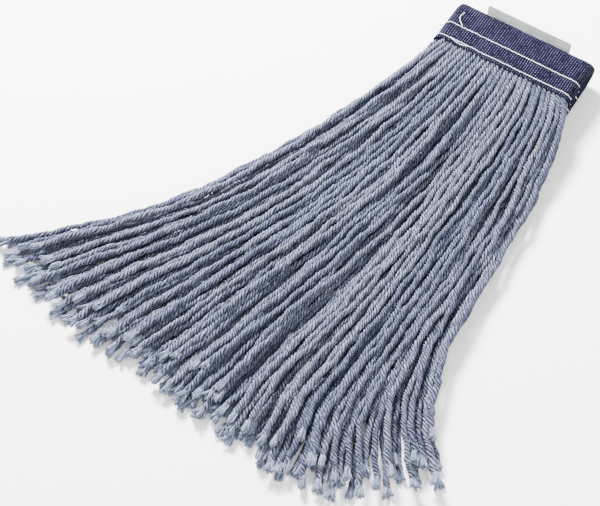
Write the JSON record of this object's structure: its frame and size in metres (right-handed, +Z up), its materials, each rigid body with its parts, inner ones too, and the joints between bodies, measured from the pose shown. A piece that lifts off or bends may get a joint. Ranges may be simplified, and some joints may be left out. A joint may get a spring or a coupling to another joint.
{
  "type": "string mop head",
  "caption": "Cut-end string mop head: a folded woven headband with a channel for the handle's clamp, and free twisted yarn ends hinged to both halves.",
  "frame": {"origin": "middle of the channel inside the fold, where the handle's gate bar goes", "axes": "+X along the channel, +Y from the yarn towards the outside of the fold, +Z up from the floor the mop lies on"},
  "size_m": [0.4782, 0.5539, 0.0396],
  "materials": {
    "cover_tape": "woven navy tape with pale warp flecks",
    "lining_tape": "woven navy tape, plain",
    "thread": "white polyester sewing thread",
    "strip": "translucent grey-white film",
    "yarn": "blue-grey four-ply twisted cotton blend"
  },
  "bodies": {
    "back_band": {"back_cover_tape": "cover_tape", "back_lining_tape": "lining_tape", "back_yarn_in_band": "yarn", "back_upper_needle_thread": "thread", "back_upper_bobbin_thread": "thread", "back_lower_needle_thread": "thread", "back_lower_bobbin_thread": "thread"},
    "front_band": {"front_cover_tape": "cover_tape", "front_lining_tape": "lining_tape", "front_yarn_in_band": "yarn", "front_upper_needle_thread": "thread", "front_upper_bobbin_thread": "thread", "front_lower_needle_thread": "thread", "front_lower_bobbin_thread": "thread", "loose_thread_tail": "thread", "plastic_fold_strip": "strip"},
    "front_left_yarn": {"front_left_strands_a": "yarn", "front_left_strands_b": "yarn", "front_left_strands_c": "yarn"},
    "front_middle_yarn": {"front_middle_strands_a": "yarn", "front_middle_strands_b": "yarn", "front_middle_strands_c": "yarn"},
    "front_right_yarn": {"front_right_strands_a": "yarn", "front_right_strands_b": "yarn", "front_right_strands_c": "yarn"},
    "back_left_yarn": {"back_left_strands_a": "yarn", "back_left_strands_b": "yarn", "back_left_strands_c": "yarn"},
    "back_middle_yarn": {"back_middle_strands_a": "yarn", "back_middle_strands_b": "yarn", "back_middle_strands_c": "yarn"},
    "back_right_yarn": {"back_right_strands_a": "yarn", "back_right_strands_b": "yarn", "back_right_strands_c": "yarn"}
  },
  "joints": [
    {"name": "fold_hinge", "type": "hinge", "parent": "back_band", "child": "front_band", "pos_m": [0, 0.0193, 0], "axis": [-1, 0, 0], "range_deg": [0, 150]},
    {"name": "front_left_swing", "type": "hinge", "parent": "front_band", "child": "front_left_yarn", "pos_m": [0, -0.0445, 0.019], "axis": [-1, 0, 0], "range_deg": [0, 60]},
    {"name": "front_middle_swing", "type": "hinge", "parent": "front_band", "child": "front_middle_yarn", "pos_m": [0, -0.0445, 0.019], "axis": [-1, 0, 0], "range_deg": [0, 60]},
    {"name": "front_right_swing", "type": "hinge", "parent": "front_band", "child": "front_right_yarn", "pos_m": [0, -0.0445, 0.019], "axis": [-1, 0, 0], "range_deg": [0, 60]},
    {"name": "back_left_swing", "type": "hinge", "parent": "back_band", "child": "back_left_yarn", "pos_m": [0, -0.0445, -0.019], "axis": [1, 0, 0], "range_deg": [0, 60]},
    {"name": "back_middle_swing", "type": "hinge", "parent": "back_band", "child": "back_middle_yarn", "pos_m": [0, -0.0445, -0.019], "axis": [1, 0, 0], "range_deg": [0, 60]},
    {"name": "back_right_swing", "type": "hinge", "parent": "back_band", "child": "back_right_yarn", "pos_m": [0, -0.0445, -0.019], "axis": [1, 0, 0], "range_deg": [0, 60]}
  ]
}
